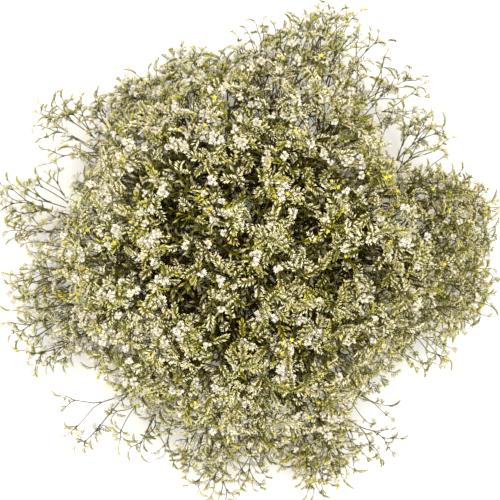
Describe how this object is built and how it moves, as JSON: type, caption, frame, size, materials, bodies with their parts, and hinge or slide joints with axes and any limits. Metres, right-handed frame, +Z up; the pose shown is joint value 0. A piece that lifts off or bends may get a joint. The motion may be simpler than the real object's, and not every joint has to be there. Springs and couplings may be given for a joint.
{
  "type": "bunch of dried statice",
  "caption": "Round hand-tied bunch of dried statice, papery cream flowers on branched stems, spiral-tied with twine so that it stands on its cut stem ends.",
  "frame": {"origin": "cut end of the middle stem, on the surface that the bunch stands on", "axes": "+Z up along the middle stem, +X to the right and +Y to the top in a view straight down"},
  "size_m": [0.5001, 0.5043, 0.3504],
  "materials": {
    "dried_flower": "matte, papery",
    "jute_twine": "matte, fibrous"
  },
  "bodies": {
    "root": {"spray_01": "dried_flower", "spray_02": "dried_flower", "spray_03": "dried_flower", "spray_04": "dried_flower", "spray_05": "dried_flower", "spray_06": "dried_flower", "spray_07": "dried_flower", "spray_08": "dried_flower", "spray_09": "dried_flower", "spray_10": "dried_flower", "spray_11": "dried_flower", "spray_12": "dried_flower", "spray_13": "dried_flower", "spray_14": "dried_flower", "spray_15": "dried_flower", "spray_16": "dried_flower", "spray_17": "dried_flower", "spray_18": "dried_flower", "spray_19": "dried_flower", "twine_tie": "jute_twine"}
  },
  "joints": []
}
